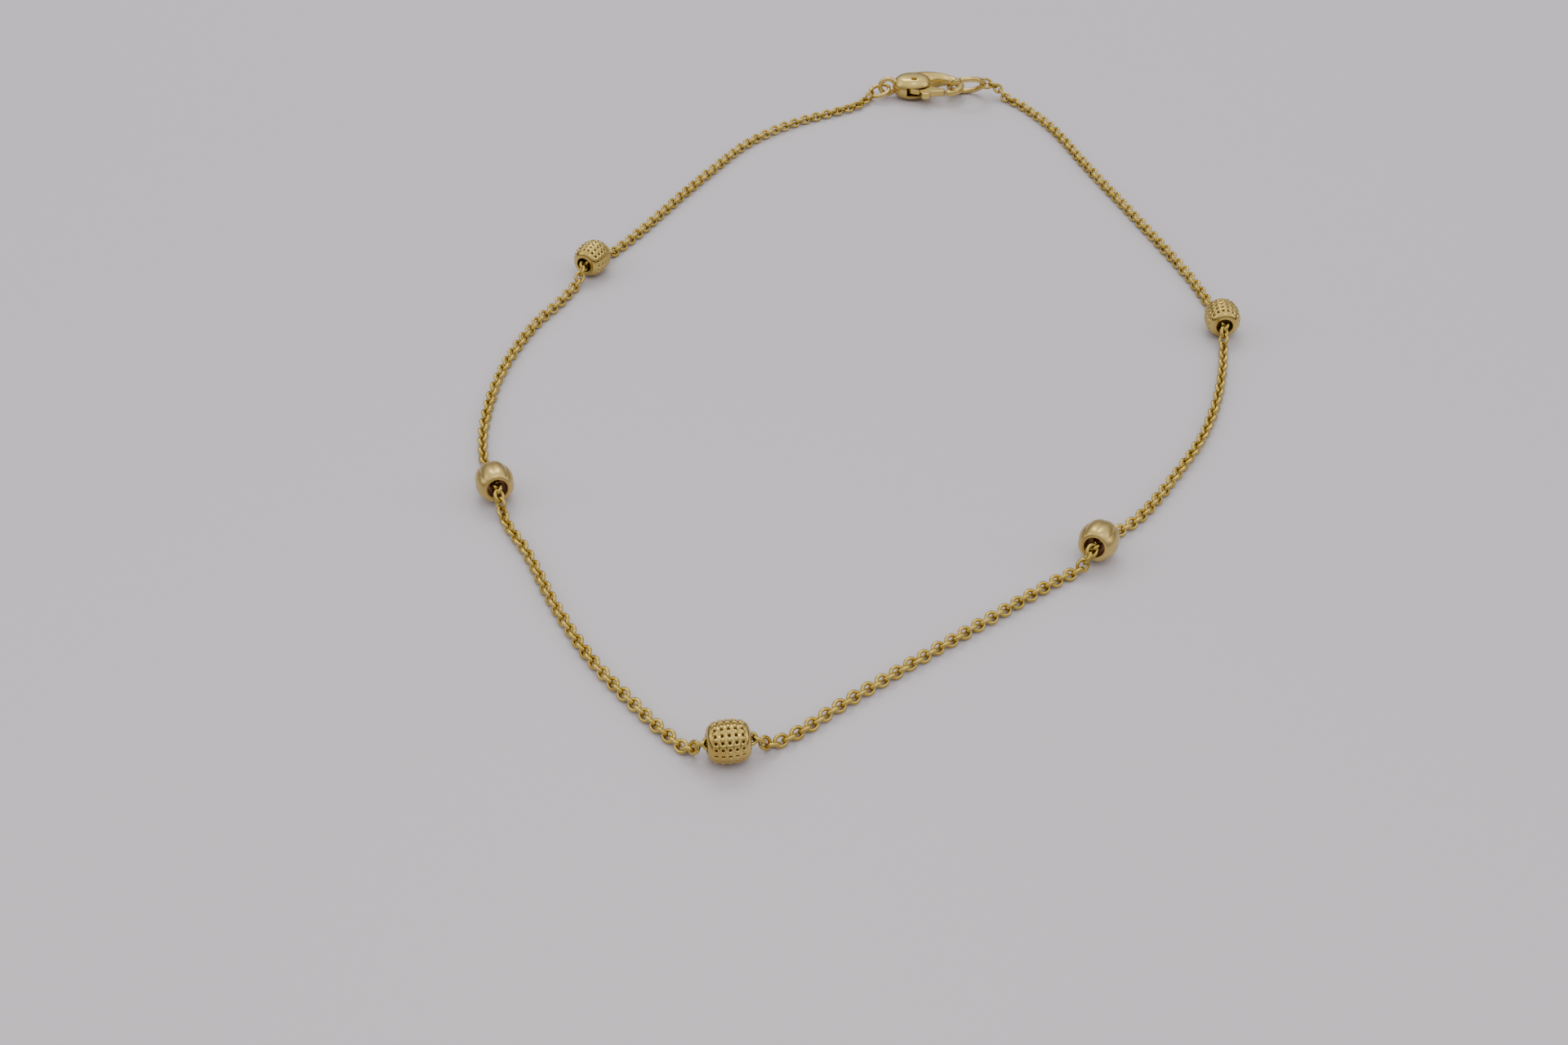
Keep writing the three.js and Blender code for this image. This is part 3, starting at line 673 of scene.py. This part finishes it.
CLASP_EYELET = (3.8029, 52.301, 1.3)
CLASP_HEADING = 1.0
CLASP_THICKNESS = 2.6
CLAW_LENGTH, CLAW_BREADTH = 8.2, 3.6
CLAW_TABLE = np.array([  # along, across, half width, half thickness, as shares
    (0.22, 0.02, 0.3, 0.42), (0.33, 0.13, 0.34, 0.46), (0.46, 0.27, 0.32, 0.45),
    (0.6, 0.39, 0.26, 0.39), (0.76, 0.43, 0.19, 0.29), (0.91, 0.31, 0.145, 0.19),
    (1.0, 0.0, 0.12, 0.15), (0.965, -0.3, 0.115, 0.15), (0.9, -0.45, 0.11, 0.15),
    (0.82, -0.53, 0.1, 0.145),
]) * (CLAW_LENGTH, CLAW_BREADTH, CLAW_BREADTH, CLASP_THICKNESS)
BLOCK_MIDDLE, BLOCK_HALF = 2.75, (2.25, 1.8, 1.56)
EYELET_RADIUS, EYELET_WIRE = 0.88, 0.54
LEVER_PIN = (2.85, -0.75)
SLOT_FROM, SLOT_TO, SLOT_TOP, SLOT_HALF = 2.02, 5.62, 0.5, 0.48
PIN_HOLE = 0.325
MILL_REACH, DRILL_REACH = 3.0, 2.0
CLAW_SPAN_STEPS, CLAW_SIDES, CLAW_TIP_ROWS = 14, 28, 5
BLOCK_ROWS, BLOCK_COLUMNS = 28, 40
EYELET_STEPS, EYELET_SIDES = 48, 20
PIN_SIDES = 32
CAST_GRAIN, CAST_SMOOTHINGS = 0.055, 5
CAST_EDGE = 50

clasp_place = Matrix.Translation(CLASP_EYELET) @ Matrix.Rotation(math.radians(CLASP_HEADING), 4, "Z")


def placed_by(matrix, points):
    """Points moved by a 4 x 4 matrix, as a whole array."""
    m = np.array(matrix)
    return points @ m[:3, :3].T + m[:3, 3]


def capped(points, rows, columns):
    """A grid shut round its columns, with a fan of triangles to a pole at each end. The poles are
    the two last points."""
    pole, last_row = len(points) - 2, (rows - 1) * columns
    here = np.arange(columns)
    beside = np.roll(here, -1)
    start = np.column_stack([np.full(columns, pole), beside, here])
    end = np.column_stack([np.full(columns, pole + 1), last_row + here, last_row + beside])
    cells = grid_faces(rows, columns, shut_rows=False)
    return [*cells.tolist(), *start.tolist(), *end.tolist()]


def lofted(rows_of_line, sides, tip_rows):
    """An oval section carried along a flat line of (along, across, half width, half thickness),
    always square to the line, with a quarter round of more rows at its tip."""
    ahead = np.gradient(rows_of_line[:, :2], axis=0)
    ahead /= np.linalg.norm(ahead, axis=1)[:, None]
    last, last_ahead = rows_of_line[-1], ahead[-1]
    bend = np.linspace(0, np.pi / 2, tip_rows + 2)[1:-1]
    tip = np.column_stack([
        last[:2] + last_ahead * last[2] * np.sin(bend)[:, None],
        last[2] * np.cos(bend), last[3] * np.cos(bend),
    ])
    rows_of_line = np.vstack([rows_of_line, tip])
    ahead = np.vstack([ahead, np.repeat(last_ahead[None], tip_rows, 0)])
    about = 2 * np.pi * np.arange(sides)[None, :] / sides
    wide = rows_of_line[:, 2:3] * np.cos(about)
    points = np.stack([
        rows_of_line[:, 0:1] - ahead[:, 1:2] * wide,
        rows_of_line[:, 1:2] + ahead[:, 0:1] * wide,
        rows_of_line[:, 3:4] * np.sin(about),
    ], -1).reshape(-1, 3)
    poles = np.array([[*rows_of_line[0, :2], 0], [*(last[:2] + last_ahead * last[2]), 0]])
    points = np.vstack([points, poles])
    return points, capped(points, len(rows_of_line), sides)


def soft_block(middle, half, flat, rows, columns):
    """An ellipsoid about the first axis, pressed between two flats: its third axis is z over the
    eighth root of 1 + (z / flat)^8, which levels off at the flats with soft edges."""
    down = np.pi * np.arange(1, rows + 1)[:, None] / (rows + 1)
    about = 2 * np.pi * np.arange(columns)[None, :] / columns
    points = np.stack([
        np.broadcast_to(middle - half[0] * np.cos(down), (rows, columns)),
        half[1] * np.sin(down) * np.cos(about),
        half[2] * np.sin(down) * np.sin(about),
    ], -1).reshape(-1, 3)
    points = np.vstack([points, [[middle - half[0], 0, 0], [middle + half[0], 0, 0]]])
    points[:, 2] /= (1 + np.abs(points[:, 2] / flat) ** 8) ** (1 / 8)
    return points, capped(points, rows, columns)


def loose_object(name, parts):
    """Shells put together in one mesh, in millimetres, before they are made one."""
    points, faces = np.zeros((0, 3)), []
    for shell, shell_faces in parts:
        first = len(points)
        faces += [[first + k for k in face] for face in facing_out(shell, shell_faces)]
        points = np.vstack([points, shell])
    mesh = bpy.data.meshes.new(name)
    mesh.from_pydata(points.tolist(), [], faces)
    made = bpy.data.objects.new(name, mesh)
    bpy.context.scene.collection.objects.link(made)
    return made


def box_shell(low, high):
    """A box from its lowest to its highest corner."""
    pick = np.array([(i, j, k) for k in (0, 1) for j in (0, 1) for i in (0, 1)])
    points = np.where(pick == 0, low, high).astype(float)
    faces = [[0, 2, 3, 1], [4, 5, 7, 6], [0, 1, 5, 4], [2, 6, 7, 3], [0, 4, 6, 2], [1, 3, 7, 5]]
    return points, faces


def drill_shell(middle, radius, half_depth, sides):
    """A round bar upright through middle, shut at both ends."""
    about = 2 * np.pi * np.arange(sides) / sides
    across, up = middle[0] + radius * np.cos(about), middle[1] + radius * np.sin(about)
    points = np.vstack([
        np.column_stack([across, up, np.full(sides, level)]) for level in (-half_depth, half_depth)
    ])
    faces = grid_faces(2, sides, shut_rows=False).tolist()
    return points, faces + [list(range(sides))[::-1], list(range(sides, 2 * sides))]


def shape_of(made):
    """Points and faces of an object with its modifiers, after which the object goes."""
    bpy.context.view_layer.update()
    finished = made.evaluated_get(bpy.context.evaluated_depsgraph_get())
    mesh = bpy.data.meshes.new_from_object(finished)
    points = np.zeros(3 * len(mesh.vertices), np.float32)
    mesh.vertices.foreach_get("co", points)
    faces = [list(face.vertices) for face in mesh.polygons]
    bpy.data.objects.remove(made)
    return points.reshape(-1, 3).astype(float), faces


# The three parts are fused on a fine grid and smoothed over as if fettled, and then cut.
claw_line = curve_through(CLAW_TABLE, CLAW_SPAN_STEPS)
eyelet = ring_grid(EYELET_STEPS, EYELET_SIDES, EYELET_RADIUS, EYELET_RADIUS, EYELET_WIRE / 2)
casting = loose_object("casting", [
    lofted(claw_line, CLAW_SIDES, CLAW_TIP_ROWS),
    soft_block(BLOCK_MIDDLE, BLOCK_HALF, CLASP_THICKNESS / 2, BLOCK_ROWS, BLOCK_COLUMNS),
    (eyelet[:, [0, 2, 1]], grid_faces(EYELET_STEPS, EYELET_SIDES)),
])
fused = casting.modifiers.new("fused", "REMESH")
fused.mode = "VOXEL"
fused.voxel_size = CAST_GRAIN
fettled = casting.modifiers.new("fettled", "SMOOTH")
fettled.factor = 0.5
fettled.iterations = CAST_SMOOTHINGS
slot_low, slot_high = (SLOT_FROM, -MILL_REACH, -SLOT_HALF), (SLOT_TO, SLOT_TOP, SLOT_HALF)
cutters = [
    loose_object("slot_cutter", [box_shell(slot_low, slot_high)]),
    loose_object("pin_cutter", [drill_shell(LEVER_PIN, PIN_HOLE, DRILL_REACH, PIN_SIDES)]),
]
for cutter in cutters:
    cut = casting.modifiers.new(cutter.name, "BOOLEAN")
    cut.operation = "DIFFERENCE"
    cut.solver = "EXACT"
    cut.object = cutter
points, faces = shape_of(casting)
for cutter in cutters:
    bpy.data.objects.remove(cutter)

clasp_gold = gold(
    "clasp_gold", pale=(0.73, 0.56, 0.19), deep=(0.64, 0.46, 0.135), polish=(0.20, 0.32),
    blotch=380.0, grain=9000.0, scratches=0.7, relief=4e-6,
)
clasp_casting = make_piece(
    "clasp_casting", placed_by(clasp_place, points), faces, clasp_gold,
    "anklet", ["clasp_body"],
)
clasp_casting.data.set_sharp_from_angle(angle=math.radians(CAST_EDGE))

# Clasp lever and pin
# A flat stamped lever with a thumb nub, its edges eased, turns in the slot on a plain round pin
# and is sprung shut against the claw's tip.

LEVER_THICKNESS, LEVER_EASE = 0.7, 0.1
LEVER_ROOT, LEVER_TIP, LEVER_REACH, LEVER_FALL = 0.68, 0.34, 3.108, 0.95
NUB_FOOT, NUB_FOOT_DEPTH, NUB_EASE, NUB_AT = 0.52, 0.92, 0.22, 0.98
NUB_FLAT, NUB_WIDTH, NUB_REACH, NUB_SHOULDER = 0.32, 0.82, 2.0, 1.32
ROOT_STEPS, NUB_STEPS, TIP_STEPS, EASE_POINTS, DOME_POINTS = 20, 8, 16, 5, 6
PLATE_DRILL_REACH, PLATE_EDGE = 1.0, 40
PIN_RADIUS, PIN_LENGTH, PIN_DOME = 0.25, 2.2, 0.06


def arc(middle, radius, start, end, steps):
    """Points round a circle from one angle to another."""
    turn = np.linspace(start, end, steps + 1)
    return np.column_stack([middle[0] + radius * np.cos(turn), middle[1] + radius * np.sin(turn)])


def bent(start, control, end, steps):
    """Points of a quadratic curve: (1-t)^2 start + 2t(1-t) control + t^2 end."""
    t = np.linspace(0, 1, steps + 1)[:, None]
    start, control, end = (np.array(p, float) for p in (start, control, end))
    return (1 - t) ** 2 * start + 2 * t * (1 - t) * control + t**2 * end


slope = math.atan2(LEVER_FALL, LEVER_REACH)
nub_end = NUB_AT + NUB_WIDTH
outline = np.vstack([
    arc((0, 0), LEVER_ROOT, math.pi / 2 - slope, math.pi * 1.5 - slope, ROOT_STEPS),
    bent(
        (NUB_FOOT, -NUB_FOOT_DEPTH), (NUB_AT - NUB_EASE, -NUB_REACH), (NUB_AT, -NUB_REACH), NUB_STEPS
    ),
    bent(
        (NUB_AT + NUB_FLAT, -NUB_REACH), (nub_end, -NUB_REACH), (nub_end, -NUB_SHOULDER), NUB_STEPS
    ),
    arc(
        (LEVER_REACH, -LEVER_FALL), LEVER_TIP, -math.pi / 2 - slope, math.pi / 2 - slope, TIP_STEPS
    ),
])
ahead = np.roll(outline, -1, 0) - np.roll(outline, 1, 0)
inward = np.column_stack([-ahead[:, 1], ahead[:, 0]]) / np.linalg.norm(ahead, axis=1)[:, None]

# Edge: the outline drawn in by a quarter circle at the top and at the bottom of the plate.
ease = np.linspace(0, np.pi / 2, EASE_POINTS)
draw_in = LEVER_EASE * (1 - np.sin(ease))
level = LEVER_THICKNESS / 2 - LEVER_EASE + LEVER_EASE * np.cos(ease)
draw_in, level = np.concatenate([draw_in, draw_in[::-1]]), np.concatenate([-level, level[::-1]])
sides = len(outline)
points = np.stack([
    np.broadcast_to(part, (len(level), sides))
    for part in (
        LEVER_PIN[0] + outline[None, :, 0] + inward[None, :, 0] * draw_in[:, None],
        LEVER_PIN[1] + outline[None, :, 1] + inward[None, :, 1] * draw_in[:, None],
        level[:, None],
    )
], -1).reshape(-1, 3)
faces = grid_faces(len(level), sides, shut_rows=False).tolist()
faces += [list(range(sides))[::-1], list(range(len(points) - sides, len(points)))]
plate = loose_object("plate", [(points, faces)])
drill = loose_object("drill", [drill_shell(LEVER_PIN, PIN_HOLE, PLATE_DRILL_REACH, PIN_SIDES)])
cut = plate.modifiers.new("pin_hole", "BOOLEAN")
cut.operation = "DIFFERENCE"
cut.solver = "EXACT"
cut.object = drill
points, faces = shape_of(plate)
bpy.data.objects.remove(drill)
sprung_lever = make_piece(
    "sprung_lever", placed_by(clasp_place, points), faces, clasp_gold,
    "lever", ["clasp_lever"],
)
sprung_lever.data.set_sharp_from_angle(angle=math.radians(PLATE_EDGE))

# Pin: a straight bar with a quarter of a low ellipse turned at each end, between the two poles.
dome = np.linspace(0, np.pi / 2, DOME_POINTS)[1:-1]
dome_radius, dome_level = PIN_RADIUS * np.sin(dome), PIN_DOME * (1 - np.cos(dome))
pin_radius = np.concatenate([dome_radius, [PIN_RADIUS, PIN_RADIUS], dome_radius[::-1]])
pin_level = np.concatenate([
    -PIN_LENGTH / 2 + dome_level,
    [PIN_DOME - PIN_LENGTH / 2, PIN_LENGTH / 2 - PIN_DOME],
    PIN_LENGTH / 2 - dome_level[::-1],
])
about = 2 * np.pi * np.arange(PIN_SIDES)[None, :] / PIN_SIDES
points = np.stack([
    LEVER_PIN[0] + pin_radius[:, None] * np.cos(about),
    LEVER_PIN[1] + pin_radius[:, None] * np.sin(about),
    np.broadcast_to(pin_level[:, None], (len(pin_level), PIN_SIDES)),
], -1).reshape(-1, 3)
points = np.vstack([points, [[*LEVER_PIN, -PIN_LENGTH / 2], [*LEVER_PIN, PIN_LENGTH / 2]]])
make_piece(
    "hinge_pin", placed_by(clasp_place, points), capped(points, len(pin_level), PIN_SIDES),
    clasp_gold, "anklet", ["clasp_pin"],
)

# Rings
# Two rings of round gold wire. The small one joins the eyelet to the chain, and the larger is
# caught by the claw and leans on its nose. Each is bent shut, and shows the fine line of its cut.

JUMP_RING = {"radius": 1.1, "wire": 0.46, "heading": 24, "pitch": 17, "cut_at": 1.9}
END_RING = {"radius": 1.95, "wire": 0.6, "heading": -1, "pitch": -6, "roll": -44, "cut_at": 4.4}
END_RING_CAUGHT = (6.868, -0.6, 0.1587)
RING_CUT, RING_CUT_EASE = 0.03, 0.12
RING_STEPS, RING_SIDES = 56, 20

jump_place = (
    clasp_place
    @ Matrix.Rotation(math.radians(JUMP_RING["heading"]), 4, "Z")
    @ Matrix.Rotation(math.radians(-JUMP_RING["pitch"]), 4, "Y")
    @ Matrix.Translation((-JUMP_RING["radius"], 0, 0))
)
end_place = (
    clasp_place
    @ Matrix.Translation(END_RING_CAUGHT)
    @ Matrix.Rotation(math.radians(END_RING["heading"] - CLASP_HEADING), 4, "Z")
    @ Matrix.Rotation(math.radians(END_RING["pitch"]), 4, "Y")
    @ Matrix.Rotation(math.radians(END_RING["roll"]), 4, "X")
    @ Matrix.Translation((END_RING["radius"], 0, 0))
)


def bent_ring(ring):
    """Round wire bent into a ring from one side of its cut to the other: a circle carried round a
    circle, a little smaller at its first and last rows, where the cut's edges are eased."""
    radius = ring["radius"]
    half = RING_CUT / radius / 2
    turn = ring["cut_at"] + np.linspace(half, 2 * np.pi - half, RING_STEPS)
    wire_radius = np.full((RING_STEPS, 1), ring["wire"] / 2)
    wire_radius[[0, -1]] *= 1 - RING_CUT_EASE
    about = 2 * np.pi * np.arange(RING_SIDES)[None, :] / RING_SIDES
    out = radius + wire_radius * np.cos(about)
    points = np.stack([
        out * np.cos(turn)[:, None],
        out * np.sin(turn)[:, None],
        wire_radius * np.sin(about),
    ], -1).reshape(-1, 3)
    ends = [[radius * math.cos(turn[k]), radius * math.sin(turn[k]), 0] for k in (0, -1)]
    points = np.vstack([points, ends])
    return points, capped(points, RING_STEPS, RING_SIDES)


for name, node, ring, place in (
    ("bent_jump_ring", "jump_ring", JUMP_RING, jump_place),
    ("bent_end_ring", "end_ring", END_RING, end_place),
):
    points, faces = bent_ring(ring)
    make_piece(name, placed_by(place, points), faces, clasp_gold, "anklet", [node])
